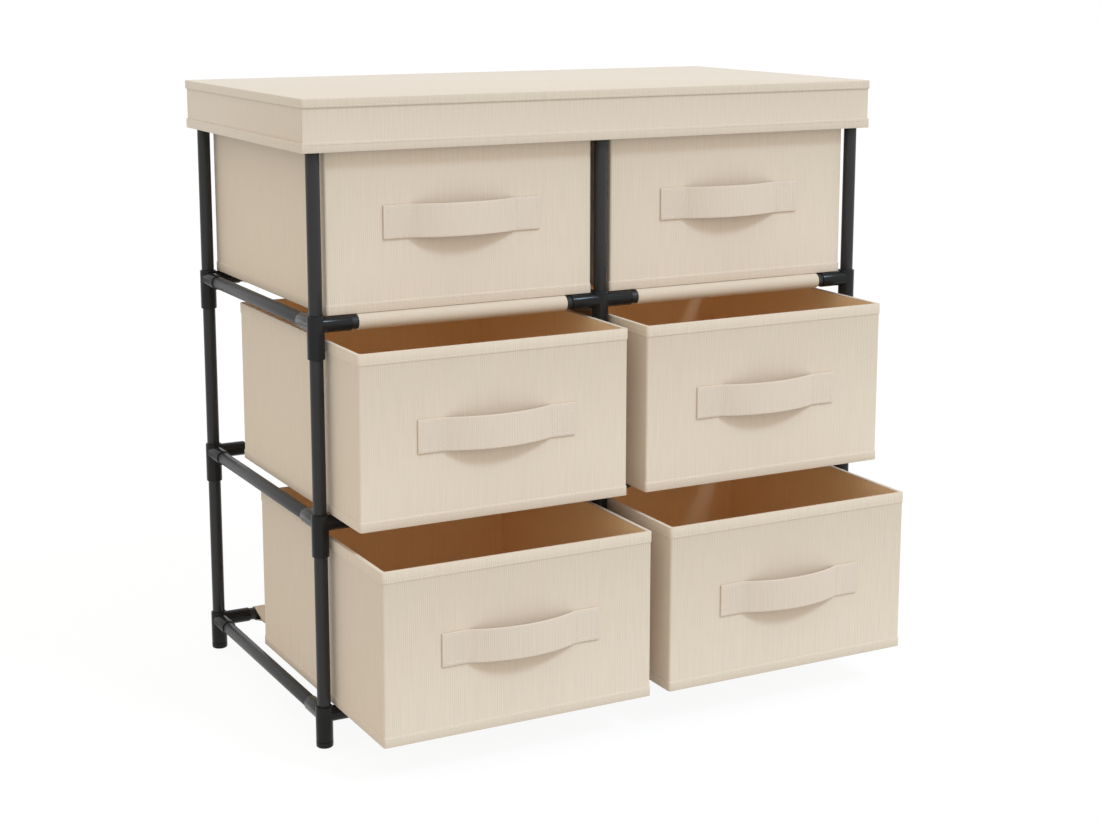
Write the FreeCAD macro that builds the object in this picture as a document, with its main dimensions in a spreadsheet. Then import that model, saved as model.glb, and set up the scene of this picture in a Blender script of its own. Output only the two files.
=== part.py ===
import FreeCAD, Part
import os
import Sketcher

# Six-drawer fabric cabinet: a rack of steel tubes pushed into moulded connectors, cloth shelves slung
# between the width rails, loose baskets of cloth-covered card, and a cloth-covered lid laid on top.
# X runs left to right, Y front to rear and Z up. The origin is on the floor, under the rear centre post.

SIZES = [
    ("basket_width", 280, "basket over its bands, left to right"),
    ("basket_depth", 318, "basket over its bands, front to rear"),
    ("basket_height", 165, "basket, bottom to rim"),
    ("basket_side_gap", 1.9, "basket to the post sleeve beside it"),
    ("basket_proud", 1.2, "closed basket's front before the front posts' axis"),
    ("basket_behind", 3.2, "closed basket's back behind the rear posts' axis"),
    ("basket_headroom", 8.3, "rim of a basket to the shelf loop above it"),
    ("basket_fit", 0.3, "shelf loop to the bottom of a basket"),
    ("middle_open", 73, "how far the middle baskets stand open"),
    ("bottom_open", 121, "how far the bottom baskets stand open"),
    ("band_proud", 0.7, "rim and hem bands outside the basket's cloth"),
    ("rim_height", 10.7, "folded band round the rim"),
    ("hem_height", 9.3, "folded band round the bottom"),
    ("cover_cloth", 0.8, "outer cloth of a basket"),
    ("card_thickness", 2, "card panels in the walls and bottom"),
    ("card_gap", 0.3, "card panel to what stands beside it"),
    ("lining_cloth", 0.6, "inner cloth of a basket"),
    ("strap_length", 164, "handle strap with its sewn tabs"),
    ("strap_span", 110, "free loop between the sewn tabs"),
    ("strap_width", 32, "handle strap, top to bottom"),
    ("strap_thickness", 2, "handle strap"),
    ("strap_bow", 11.5, "front of the loop before the basket's cloth"),
    ("strap_height", 83.5, "middle of the strap above the basket's bottom"),
    ("tube_diameter", 13, "outside of every steel tube"),
    ("tube_wall", 1, "wall of a tube, at the flats of its bore"),
    ("socket_fit", 0.1, "gap between a tube and the flats of its socket"),
    ("sleeve_wall", 1.7, "connector's wall round a post tube"),
    ("sleeve_shoulder", 1.4, "open sleeve above the top of its arms"),
    ("sleeve_grip", 21, "post tube's upper end in a middle connector"),
    ("top_grip", 14, "post tube's upper end in a top connector"),
    ("top_head", 3.2, "closed head of a top connector above its arms"),
    ("web_drop", 8, "web that stops the tube above it, below the rail axis"),
    ("web_thickness", 3, "web between the two tubes in a sleeve"),
    ("arm_wall", 1, "connector's wall round a rail"),
    ("arm_grip", 19, "rail's end in its arm"),
    ("arm_stop", 6.7, "solid stop between a sleeve and the rail's end"),
    ("first_level", 32, "floor to the axis of the lowest rails"),
    ("cap_height", 6, "foot cap below the sleeve"),
    ("spigot_gap", 1, "foot cap's spigot to the web above it"),
    ("shelf_cloth", 1, "cloth of the shelves"),
    ("shelf_fit", 0.2, "gap between a rail and the shelf's loop"),
    ("shelf_gap", 6.5, "mouth of an arm to the edge of the shelf"),
    ("shelf_seam", 25, "axis of a rail to the seam that closes the shelf's tunnel round it"),
    ("board_thickness", 7.2, "board in the lid"),
    ("lid_cloth", 0.8, "cloth round the lid's board"),
    ("lid_fit", 0.2, "connector heads to the cloth under the board"),
    ("skirt_height", 40.4, "skirt below the board's band"),
    ("skirt_cloth", 2, "stiffened cloth of the skirt"),
    ("skirt_hem", 9.5, "folded hem of the skirt"),
    ("skirt_step", 1.4, "skirt behind the band and the hem"),
    ("skirt_side_gap", 2.9, "skirt to the outer sleeves, left and right"),
    ("skirt_end_gap", 1.5, "skirt to the sleeves, front and rear"),
    ("cut_overrun", 1, "how far a cutting tool runs past a mouth"),
]
size = {alias: value for alias, value, meaning in SIZES}

# Round tubes, mouldings, bores and cloth loops are drawn with flats, because there are so many.
TUBE_SIDES = 16
MOULDING_SIDES = 12
BORE_SIDES = 8
LOOP_SIDES = 8

LEVEL_NAMES = ["bottom", "lower", "upper", "top"]
TOP_LEVEL = len(LEVEL_NAMES) - 1
BAYS = [("left", -1), ("right", 1)]
POSTS = [("left", -1), ("centre", 0), ("right", 1)]

# Sizes that follow from the sheet. The rack's pitches leave room for the baskets.
socket_across = "(sizes.tube_diameter + 2 * sizes.socket_fit)"
sleeve_across = f"({socket_across} + 2 * sizes.sleeve_wall)"
arm_across = f"({socket_across} + 2 * sizes.arm_wall)"
arm_root = f"({sleeve_across} / 2 + sizes.arm_stop)"
arm_reach = f"({arm_root} + sizes.arm_grip)"
shelf_hole = "(sizes.tube_diameter + 2 * sizes.shelf_fit)"
shelf_loop = f"({shelf_hole} + 2 * sizes.shelf_cloth)"
bay_pitch = f"(sizes.basket_width + {sleeve_across} + 2 * sizes.basket_side_gap)"
depth_pitch = "(sizes.basket_depth - sizes.basket_proud - sizes.basket_behind)"
level_pitch = f"(sizes.basket_height + {shelf_loop} + sizes.basket_fit + sizes.basket_headroom)"
POST_ROWS = [("front", f"-{depth_pitch}"), ("rear", "0")]

UP = FreeCAD.Vector(0, 0, 1)
ALONG = {
    "+x": FreeCAD.Vector(1, 0, 0),
    "-x": FreeCAD.Vector(-1, 0, 0),
    "+y": FreeCAD.Vector(0, 1, 0),
    "+z": UP,
}

doc = FreeCAD.newDocument("drawer_cabinet")
sheet = doc.addObject("Spreadsheet::Sheet", "sizes")
for row, (alias, value, meaning) in enumerate(SIZES, start=1):
    sheet.set(f"A{row}", meaning)
    sheet.set(f"B{row}", str(value))
    sheet.setAlias(f"B{row}", alias)
doc.recompute()

nodes = []


def level_axis(level):
    return f"(sizes.first_level + {level} * {level_pitch})"


def post_x(side):
    return f"({side} * {bay_pitch})"


def bind(piece, **formulas):
    for name, formula in formulas.items():
        piece.setExpression(name, formula)


def place(piece, x="0", y="0", z="0"):
    for axis, formula in zip("xyz", (x, y, z)):
        piece.setExpression(f"Placement.Base.{axis}", formula)


def keep(piece, label):
    piece.Label = label
    nodes.append(piece)


# Solids made from primitives: tubes, connectors, foot caps, shelves and card panels.


def prism(name, sides, across_flats, length, direction="+z", x="0", y="0", z="0"):
    piece = doc.addObject("Part::Prism", name)
    piece.Polygon = sides
    bind(piece, Circumradius=f"({across_flats}) / 2 / cos(180 / {sides})", Height=length)
    flats_square = FreeCAD.Rotation(UP, 180 / sides)
    piece.Placement.Rotation = FreeCAD.Rotation(UP, ALONG[direction]).multiply(flats_square)
    place(piece, x, y, z)
    return piece


def box(name, length, width, height, x, y, z):
    piece = doc.addObject("Part::Box", name)
    bind(piece, Length=length, Width=width, Height=height)
    place(piece, x, y, z)
    return piece


def fuse(name, pieces):
    joined = doc.addObject("Part::MultiFuse", name)
    joined.Shapes = pieces
    joined.Refine = True
    return joined


def cut(name, base, tool):
    piece = doc.addObject("Part::Cut", name)
    piece.Base = base
    piece.Tool = tool
    piece.Refine = True
    return piece


def group(label, pieces):
    whole = doc.addObject("Part::Compound", label)
    whole.Links = pieces
    keep(whole, label)
    return whole


def tube(name, length):
    """An upright tube, of which the rack holds copies."""
    outside = prism(f"{name}_outside", TUBE_SIDES, "sizes.tube_diameter", length)
    bore = prism(
        f"{name}_bore", BORE_SIDES, "sizes.tube_diameter - 2 * sizes.tube_wall",
        f"{length} + 2 * sizes.cut_overrun", z="-sizes.cut_overrun",
    )
    return cut(name, outside, bore)


def copy_of(piece, name, rotation, x, y, z):
    copy = doc.addObject("App::Link", name)
    copy.LinkedObject = piece
    copy.Placement.Rotation = rotation
    place(copy, x, y, z)
    return copy


def turned(degrees):
    return FreeCAD.Rotation(UP, degrees)


def laid(direction):
    return FreeCAD.Rotation(UP, ALONG[direction])


# The rack. A post is three tubes, each standing on the web of the connector below it.

post_tube = tube("post_tube", f"{level_pitch} - sizes.web_thickness")
width_rail = tube("width_rail", f"{bay_pitch} - 2 * {arm_root}")
depth_rail = tube("depth_rail", f"{depth_pitch} - 2 * {arm_root}")

for row, post_y in POST_ROWS:
    for side_name, side in POSTS:
        label = f"{row}_{side_name}_post"
        stack = [
            copy_of(
                post_tube, f"{label}_tube", turned(0),
                post_x(side), post_y, f"{level_axis(level)} - sizes.web_drop",
            )
            for level in range(TOP_LEVEL)
        ]
        group(label, stack)

for level, level_name in enumerate(LEVEL_NAMES):
    across = [
        copy_of(
            width_rail, f"{level_name}_width_rail", laid("+x"),
            f"{post_x(side)} + {arm_root}", rail_y, level_axis(level),
        )
        for row, rail_y in POST_ROWS
        for side in (-1, 0)
    ]
    group(f"{level_name}_width_rails", across)
    back = [
        copy_of(
            depth_rail, f"{level_name}_depth_rail", laid("+y"),
            post_x(side), f"-{depth_pitch} + {arm_root}", level_axis(level),
        )
        for side_name, side in POSTS
    ]
    group(f"{level_name}_depth_rails", back)


def connector(name, arms, above, below, head_open):
    """One moulding about its post axis, with the rail axes at zero height."""
    solids = [
        prism(
            f"{name}_sleeve", MOULDING_SIDES, sleeve_across, f"{above} + {below}", z=f"-{below}",
        )
    ]
    tools = [
        prism(
            f"{name}_lower_socket", BORE_SIDES, socket_across,
            f"{below} - sizes.web_drop - sizes.web_thickness + sizes.cut_overrun",
            z=f"-{below} - sizes.cut_overrun",
        )
    ]
    if head_open:
        tools.append(
            prism(
                f"{name}_upper_socket", BORE_SIDES, socket_across,
                f"{above} + sizes.web_drop + sizes.cut_overrun", z="-sizes.web_drop",
            )
        )
    for arm in arms:
        way = ALONG[arm]
        solids.append(prism(f"{name}_arm", MOULDING_SIDES, arm_across, arm_reach, arm))
        tools.append(
            prism(
                f"{name}_arm_socket", BORE_SIDES, socket_across,
                "sizes.arm_grip + sizes.cut_overrun", arm,
                x=f"{way.x} * {arm_root}", y=f"{way.y} * {arm_root}",
            )
        )
    return cut(name, fuse(f"{name}_outside", solids), fuse(f"{name}_sockets", tools))


# Connectors come in a corner form with two arms and a centre form with three. The foot ones stop
# at the caps, and the top ones have a closed head that the lid rests on.

shoulder_above = f"({arm_across} / 2 + sizes.sleeve_shoulder)"
head_above = f"({arm_across} / 2 + sizes.top_head)"
to_web = "sizes.web_drop + sizes.web_thickness"
CONNECTOR_KINDS = {
    "foot": (shoulder_above, "(sizes.first_level - sizes.cap_height)", True),
    "middle": (shoulder_above, f"({to_web} + sizes.sleeve_grip)", True),
    "top": (head_above, f"({to_web} + sizes.top_grip)", False),
}
corner_forms = {}
centre_forms = {}
for kind, (above, below, head_open) in CONNECTOR_KINDS.items():
    corner_forms[kind] = connector(f"{kind}_corner", ["+x", "+y"], above, below, head_open)
    centre_forms[kind] = connector(f"{kind}_centre", ["+x", "-x", "+y"], above, below, head_open)

SEATS = [
    (corner_forms, -1, f"-{depth_pitch}", 0),
    (centre_forms, 0, f"-{depth_pitch}", 0),
    (corner_forms, 1, f"-{depth_pitch}", 90),
    (corner_forms, 1, "0", 180),
    (centre_forms, 0, "0", 180),
    (corner_forms, -1, "0", 270),
]
for level, (label, kind) in enumerate(
    [("foot", "foot"), ("lower", "middle"), ("upper", "middle"), ("top", "top")]
):
    seated = [
        copy_of(forms[kind], f"{label}_connector", turned(turn), post_x(side), y, level_axis(level))
        for forms, side, y, turn in SEATS
    ]
    group(f"{label}_connectors", seated)

cap_plate = prism("cap_plate", MOULDING_SIDES, sleeve_across, "sizes.cap_height")
cap_spigot = prism(
    "cap_spigot", BORE_SIDES, "sizes.tube_diameter",
    f"sizes.first_level - ({to_web} + sizes.spigot_gap)",
)
foot_cap = fuse("foot_cap", [cap_plate, cap_spigot])
feet = [
    copy_of(foot_cap, "foot_cap_copy", turned(turn), post_x(side), y, "0")
    for forms, side, y, turn in SEATS
]
group("foot_caps", feet)

# A shelf is one cloth panel, level with the axes of the width rails. Its front and rear ends go
# over and under a rail and are sewn together again, which makes a tunnel that narrows to a seam.

DRAWER_ROWS = [("bottom", "sizes.bottom_open"), ("middle", "sizes.middle_open"), ("top", "0")]
FLAP_TURNS = {"front": 0, "rear": 180}
shelf_length = f"({bay_pitch} - 2 * ({arm_reach} + sizes.shelf_gap))"
seam_height = "(2 * sizes.shelf_cloth)"


def tunnel(name, end, middle, axis, across, length, tip, tip_height):
    """A round run along X with a flap that narrows from it towards the middle of the shelf."""
    end_name, y = end
    loop = prism(
        f"{name}_{end_name}_loop", LOOP_SIDES, across, length,
        "+x", f"{middle} - {length} / 2", y, axis,
    )
    flap = doc.addObject("Part::Wedge", f"{name}_{end_name}_flap")
    bind(flap, Xmin=f"-{length} / 2", Xmax=f"{length} / 2")
    bind(flap, X2min=f"-{length} / 2", X2max=f"{length} / 2")
    bind(flap, Ymin=f"{across} / 2 * tan(180 / {LOOP_SIDES})", Ymax=tip)
    bind(flap, Zmin=f"-{across} / 2", Zmax=f"{across} / 2")
    bind(flap, Z2min=f"-{tip_height} / 2", Z2max=f"{tip_height} / 2")
    flap.Placement.Rotation = turned(FLAP_TURNS[end_name])
    place(flap, middle, y, axis)
    return [loop, flap]


for level, (row, opened) in enumerate(DRAWER_ROWS):
    for bay, side in BAYS:
        label = f"{row}_{bay}_shelf"
        middle = f"{side} * {bay_pitch} / 2"
        axis = level_axis(level)
        cloth = [
            box(
                f"{label}_panel", shelf_length, f"{depth_pitch} - 2 * sizes.shelf_seam",
                "sizes.shelf_cloth", f"{middle} - {shelf_length} / 2",
                f"-{depth_pitch} + sizes.shelf_seam", f"{axis} - sizes.shelf_cloth / 2",
            )
        ]
        room = []
        for end in POST_ROWS:
            cloth += tunnel(
                f"{label}_cloth", end, middle, axis,
                shelf_loop, shelf_length, "sizes.shelf_seam", seam_height,
            )
            room += tunnel(
                f"{label}_room", end, middle, axis,
                shelf_hole, f"({shelf_length} + 2 * sizes.cut_overrun)",
                f"sizes.shelf_seam - {seam_height}", "0",
            )
        keep(cut(label, fuse(f"{label}_ends", cloth), fuse(f"{label}_rooms", room)), label)


# Solids made as bodies from sketches: the lid, the baskets' cloth and bottoms, and the straps.


def body_for(label, x, y, z):
    body = doc.addObject("PartDesign::Body", label)
    place(body, x, y, z)
    keep(body, label)
    return body


def sketch_in(body, name, height):
    sketch = body.newObject("Sketcher::SketchObject", name)
    floor = next(plane for plane in body.Origin.OriginFeatures if plane.Role == "XY_Plane")
    sketch.AttachmentSupport = (floor, [""])
    sketch.MapMode = "FlatFace"
    sketch.setExpression("AttachmentOffset.Base.z", height)
    return sketch


def fix(sketch, direction, geometry, point, formula, drawn_at):
    """Holds one coordinate of a point, measured from the sketch's origin, at a formula."""
    index = sketch.addConstraint(Sketcher.Constraint(direction, -1, 1, geometry, point, drawn_at))
    sketch.setExpression(f"Constraints[{index}]", formula)


def rectangle(body, name, height, low_x, high_x, low_y, high_y):
    sketch = sketch_in(body, name, height)
    corners = [
        FreeCAD.Vector(-1, -1, 0),
        FreeCAD.Vector(1, -1, 0),
        FreeCAD.Vector(1, 1, 0),
        FreeCAD.Vector(-1, 1, 0),
    ]
    for number, corner in enumerate(corners):
        sketch.addGeometry(Part.LineSegment(corner, corners[(number + 1) % 4]), False)
    for number in range(4):
        sketch.addConstraint(Sketcher.Constraint("Coincident", number, 2, (number + 1) % 4, 1))
        level = "Horizontal" if number % 2 == 0 else "Vertical"
        sketch.addConstraint(Sketcher.Constraint(level, number))
    fix(sketch, "DistanceX", 0, 1, low_x, -1)
    fix(sketch, "DistanceY", 0, 1, low_y, -1)
    fix(sketch, "DistanceX", 2, 1, high_x, 1)
    fix(sketch, "DistanceY", 2, 1, high_y, 1)
    return sketch


def block(body, name, footprint, bottom, height):
    """Adds a block over a footprint (low x, high x, low y, high y)."""
    pad = body.newObject("PartDesign::Pad", name)
    pad.Profile = rectangle(body, f"{name}_outline", bottom, *footprint)
    bind(pad, Length=height)
    body.Tip = pad


def hollow(body, name, footprint, bottom, height):
    """Takes a block away, upwards from its bottom."""
    pocket = body.newObject("PartDesign::Pocket", name)
    pocket.Profile = rectangle(body, f"{name}_outline", bottom, *footprint)
    pocket.Reversed = True
    bind(pocket, Length=height)
    body.Tip = pocket


def inset(half_width, low_y, high_y, amount):
    """A footprint drawn in on every side by an amount."""
    return (
        f"-({half_width}) + ({amount})",
        f"({half_width}) - ({amount})",
        f"({low_y}) + ({amount})",
        f"({high_y}) - ({amount})",
    )


# The lid: a board wrapped in cloth, with a stiffened skirt whose front is a flap of its own.
# It counts from the middle of the rack, at the skirt's lower edge.

skirt_inset = "sizes.skirt_step + sizes.skirt_cloth"
lid_half = f"({bay_pitch} + {sleeve_across} / 2 + sizes.skirt_side_gap + {skirt_inset})"
lid_rear = f"({depth_pitch} / 2 + {sleeve_across} / 2 + sizes.skirt_end_gap + {skirt_inset})"
board_bottom = "sizes.skirt_height + sizes.lid_cloth"
lid_place = (
    "0",
    f"-{depth_pitch} / 2",
    f"{level_axis(TOP_LEVEL)} + {head_above} + sizes.lid_fit - sizes.skirt_height",
)


def lid_footprint(amount):
    return inset(lid_half, f"-{lid_rear}", lid_rear, amount)


lid_board = body_for("lid_board", *lid_place)
board_footprint = lid_footprint("sizes.lid_cloth")
block(lid_board, "board", board_footprint, board_bottom, "sizes.board_thickness")

flap_back = f"-{lid_rear} + {skirt_inset}"
flap_strip = (f"-{lid_half}", lid_half, f"-{lid_rear}", flap_back)
band_height = "sizes.board_thickness + 2 * sizes.lid_cloth"
lid_cover = body_for("lid_cover", *lid_place)
block(lid_cover, "band", lid_footprint("0"), "sizes.skirt_height", band_height)
block(lid_cover, "skirt", lid_footprint("sizes.skirt_step"), "0", "sizes.skirt_height")
block(lid_cover, "skirt_hem", lid_footprint("0"), "0", "sizes.skirt_hem")
hollow(lid_cover, "under_lid", lid_footprint(skirt_inset), "0", "sizes.skirt_height")
hollow(lid_cover, "flap_room", flap_strip, "0", "sizes.skirt_height")
hollow(lid_cover, "board_pocket", board_footprint, board_bottom, "sizes.board_thickness")

flap = body_for("lid_front_flap", *lid_place)
flap_side = f"{lid_half} - sizes.skirt_step"
flap_face = f"-{lid_rear} + sizes.skirt_step"
flap_sheet = (f"-({flap_side})", flap_side, flap_face, flap_back)
block(flap, "flap_sheet", flap_sheet, "0", "sizes.skirt_height")
block(flap, "flap_hem", flap_strip, "0", "sizes.skirt_hem")

# A basket's parts count from the middle of its front edge, at the bottom.

card_outside = "sizes.band_proud + sizes.cover_cloth"
card_inside = f"{card_outside} + sizes.card_thickness"
mouth = f"{card_inside} + sizes.lining_cloth"
wall_height = "sizes.basket_height - 2 * sizes.cover_cloth"
lining_floor = "sizes.cover_cloth + sizes.lining_cloth"


def basket_footprint(amount):
    return inset("sizes.basket_width / 2", "0", "sizes.basket_depth", amount)


def cover(label, spot):
    """Outer cloth with its hem, turned over the top of the card and lining as the rim."""
    body = body_for(label, *spot)
    rim_bottom = "sizes.basket_height - sizes.rim_height"
    block(body, "cloth", basket_footprint("sizes.band_proud"), "0", "sizes.basket_height")
    block(body, "hem", basket_footprint("0"), "0", "sizes.hem_height")
    block(body, "rim", basket_footprint("0"), rim_bottom, "sizes.rim_height")
    hollow(body, "wall_room", basket_footprint(card_outside), "sizes.cover_cloth", wall_height)
    hollow(body, "mouth", basket_footprint(mouth), "sizes.cover_cloth", "sizes.basket_height")


def wall_boards(label, spot):
    """Front and rear panels across the width, with the side panels between them."""
    across = f"sizes.basket_width - 2 * ({card_outside})"
    between = f"sizes.basket_depth - 2 * ({card_inside} + sizes.card_gap)"
    thick = "sizes.card_thickness"
    left = f"-sizes.basket_width / 2 + {card_outside}"
    right = f"sizes.basket_width / 2 - ({card_inside})"
    rear = f"sizes.basket_depth - ({card_inside})"
    side_front = f"{card_inside} + sizes.card_gap"
    bottom = "sizes.cover_cloth"
    panels = [
        box(f"{label}_front", across, thick, wall_height, left, card_outside, bottom),
        box(f"{label}_rear", across, thick, wall_height, left, rear, bottom),
        box(f"{label}_left", thick, between, wall_height, left, side_front, bottom),
        box(f"{label}_right", thick, between, wall_height, right, side_front, bottom),
    ]
    place(group(label, panels), *spot)


def lining(label, spot):
    body = body_for(label, *spot)
    block(body, "inner_cloth", basket_footprint(card_inside), "sizes.cover_cloth", wall_height)
    hollow(body, "inside", basket_footprint(mouth), lining_floor, wall_height)


def base_board(label, spot):
    """Loose stiff bottom, pushed down onto the lining."""
    body = body_for(label, *spot)
    fit = basket_footprint(f"{mouth} + sizes.card_gap")
    block(body, "board", fit, lining_floor, "sizes.card_thickness")


def strap(label, x, y, z):
    """A flat strap sewn down at both ends, its middle bowed out along one arc."""
    body = body_for(label, x, f"{y} + sizes.band_proud", f"{z} + sizes.strap_height")
    outline = sketch_in(body, "strap_outline", "-sizes.strap_width / 2")
    end = size["strap_length"] / 2
    root = size["strap_span"] / 2
    face = -size["strap_thickness"]
    rise = size["strap_bow"] - size["strap_thickness"]
    bow_radius = (root**2 + rise**2) / (2 * rise)
    centre = FreeCAD.Vector(0, bow_radius - rise, 0)
    back_corners = [FreeCAD.Vector(across, 0, 0) for across in (-end, -root, root, end)]
    face_corners = [FreeCAD.Vector(across, face, 0) for across in (end, root, -root, -end)]
    corners = back_corners + face_corners

    def line(first, last):
        outline.addGeometry(Part.LineSegment(corners[first], corners[last]), False)

    def bow(first, last):
        ring = Part.Circle(centre, UP, centre.distanceToPoint(corners[first]))
        ends = (ring.parameter(corners[first]), ring.parameter(corners[last]))
        outline.addGeometry(Part.ArcOfCircle(ring, *ends), False)

    line(0, 1)
    bow(1, 2)
    line(2, 3)
    line(3, 4)
    line(4, 5)
    bow(6, 5)
    line(6, 7)
    line(7, 0)
    left_back, inner, right_back, right_end, right_face, outer, left_face, left_end = range(8)
    joins = [
        (left_back, 2, inner, 1),
        (inner, 2, right_back, 1),
        (right_back, 2, right_end, 1),
        (right_end, 2, right_face, 1),
        (right_face, 2, outer, 2),
        (outer, 1, left_face, 1),
        (left_face, 2, left_end, 1),
        (left_end, 2, left_back, 1),
        (inner, 3, outer, 3),
    ]
    for join in joins:
        outline.addConstraint(Sketcher.Constraint("Coincident", *join))
    for edge in (left_back, right_back, right_face, left_face):
        outline.addConstraint(Sketcher.Constraint("Horizontal", edge))
    for edge in (right_end, left_end):
        outline.addConstraint(Sketcher.Constraint("Vertical", edge))
    for edge in (left_back, right_back):
        outline.addConstraint(Sketcher.Constraint("PointOnObject", edge, 1, -1))
    fix(outline, "DistanceX", left_back, 1, "-sizes.strap_length / 2", -end)
    fix(outline, "DistanceX", right_back, 2, "sizes.strap_length / 2", end)
    fix(outline, "DistanceX", left_back, 2, "-sizes.strap_span / 2", -root)
    fix(outline, "DistanceX", right_back, 1, "sizes.strap_span / 2", root)
    fix(outline, "DistanceY", right_face, 1, "-sizes.strap_thickness", face)
    fix(outline, "DistanceY", left_face, 2, "-sizes.strap_thickness", face)
    rise_rule = "(sizes.strap_bow - sizes.strap_thickness)"
    radius_rule = f"(pow(sizes.strap_span / 2; 2) + pow({rise_rule}; 2)) / (2 * {rise_rule})"
    radii = [
        (inner, bow_radius, radius_rule),
        (outer, bow_radius - face, f"{radius_rule} + sizes.strap_thickness"),
    ]
    for edge, drawn_radius, rule in radii:
        index = outline.addConstraint(Sketcher.Constraint("Radius", edge, drawn_radius))
        outline.setExpression(f"Constraints[{index}]", rule)
    pad = body.newObject("PartDesign::Pad", "strap")
    pad.Profile = outline
    bind(pad, Length="sizes.strap_width")
    body.Tip = pad


for level, (row, opened) in enumerate(DRAWER_ROWS):
    for bay, side in BAYS:
        name = f"{row}_{bay}_drawer"
        spot = (
            f"{side} * {bay_pitch} / 2",
            f"-{depth_pitch} - sizes.basket_proud - {opened}",
            f"{level_axis(level)} + {shelf_loop} / 2 + sizes.basket_fit",
        )
        cover(f"{name}_cover", spot)
        wall_boards(f"{name}_wall_boards", spot)
        lining(f"{name}_lining", spot)
        base_board(f"{name}_base_board", spot)
        strap(f"{name}_handle", *spot)

doc.recompute()

# Nothing is written unless every piece is sound, and every hollow took something away.

for piece in doc.Objects:
    if "Invalid" in piece.State or "Error" in piece.State:
        raise RuntimeError(f"{piece.Label} failed: {piece.State}")
    if piece.TypeId == "PartDesign::Pocket":
        if not piece.Shape.Volume < piece.BaseFeature.Shape.Volume:
            raise RuntimeError(f"{piece.Label} cuts nothing")
for node in nodes:
    if node.Shape.isNull() or not node.Shape.isValid() or not node.Shape.Solids:
        raise RuntimeError(f"{node.Label} has no valid solid")

os.makedirs("parts", exist_ok=True)
for node in nodes:
    node.Shape.exportStep(f"parts/{node.Label}.step")
print(f"{len(nodes)} nodes, {sum(len(node.Shape.Solids) for node in nodes)} solids")
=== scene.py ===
import math

import bmesh
import bpy
from mathutils import Matrix, Vector


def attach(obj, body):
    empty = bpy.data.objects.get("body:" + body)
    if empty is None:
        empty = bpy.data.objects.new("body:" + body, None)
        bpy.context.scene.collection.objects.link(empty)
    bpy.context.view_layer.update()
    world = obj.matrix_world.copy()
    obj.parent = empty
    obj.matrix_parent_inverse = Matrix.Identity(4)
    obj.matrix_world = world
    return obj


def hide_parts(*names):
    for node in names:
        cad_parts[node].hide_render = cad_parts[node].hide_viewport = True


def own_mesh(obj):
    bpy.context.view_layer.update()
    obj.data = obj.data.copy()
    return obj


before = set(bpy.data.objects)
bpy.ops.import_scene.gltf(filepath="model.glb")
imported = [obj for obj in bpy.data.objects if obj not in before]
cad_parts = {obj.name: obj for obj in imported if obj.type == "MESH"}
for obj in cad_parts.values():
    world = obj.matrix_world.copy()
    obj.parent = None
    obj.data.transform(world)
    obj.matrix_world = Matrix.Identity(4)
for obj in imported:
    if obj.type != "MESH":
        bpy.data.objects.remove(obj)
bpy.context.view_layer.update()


# The studio. The camera stands a little above the lid and to the left of the front. One lamp, high
# at the front right, throws the short shadows under the lid's skirt and the handles. To the camera
# the pale floor glows white by the share given here, and the rest of it keeps the shadow.

GLOW_SHARE = 0.87

bpy.ops.object.select_all(action="DESELECT")
bpy.ops.object.camera_add(
    location=(-0.93228, -1.96344, 0.73288),
    rotation=(math.radians(79.61), 0, math.radians(-27.97)),
)
camera = bpy.context.object
camera.name = "studio_camera"
camera.data.lens = 63.39
camera.data.sensor_width = 36
camera.data.shift_y = -0.08
bpy.context.scene.camera = camera
bpy.context.scene.view_settings.view_transform = "Standard"
# In an open basket the light goes from wall to wall many times before it comes out.
bpy.context.scene.cycles.diffuse_bounces = 12

bpy.ops.object.light_add(type="SUN", rotation=(math.radians(41), 0, math.radians(30)))
high_lamp = bpy.context.object
high_lamp.name = "high_lamp"
high_lamp.data.energy = 1.5
high_lamp.data.color = (0.617, 0.792, 1)
high_lamp.data.angle = math.radians(12)


def seen_directly(nodes, links):
    """One where a ray comes from the camera, a mirror or glass, and nought for the light itself."""
    path = nodes.new("ShaderNodeLightPath")
    either = nodes.new("ShaderNodeMath")
    either.operation = "MAXIMUM"
    links.new(path.outputs["Is Camera Ray"], either.inputs[0])
    links.new(path.outputs["Is Glossy Ray"], either.inputs[1])
    every = nodes.new("ShaderNodeMath")
    every.operation = "MAXIMUM"
    links.new(either.outputs[0], every.inputs[0])
    links.new(path.outputs["Is Transmission Ray"], every.inputs[1])
    return every.outputs[0]


studio = bpy.data.worlds.new("white_studio")
bpy.context.scene.world = studio
studio.use_nodes = True
nodes, links = studio.node_tree.nodes, studio.node_tree.links
room_light = nodes["Background"]
room_light.inputs["Color"].default_value = (1, 0.965, 0.905, 1)
room_light.inputs["Strength"].default_value = 0.985
white_wall = nodes.new("ShaderNodeBackground")
white_wall.inputs["Color"].default_value = (1, 1, 1, 1)
white_wall.inputs["Strength"].default_value = 1
choice = nodes.new("ShaderNodeMixShader")
links.new(seen_directly(nodes, links), choice.inputs["Fac"])
links.new(room_light.outputs[0], choice.inputs[1])
links.new(white_wall.outputs[0], choice.inputs[2])
links.new(choice.outputs[0], nodes["World Output"].inputs["Surface"])

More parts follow.
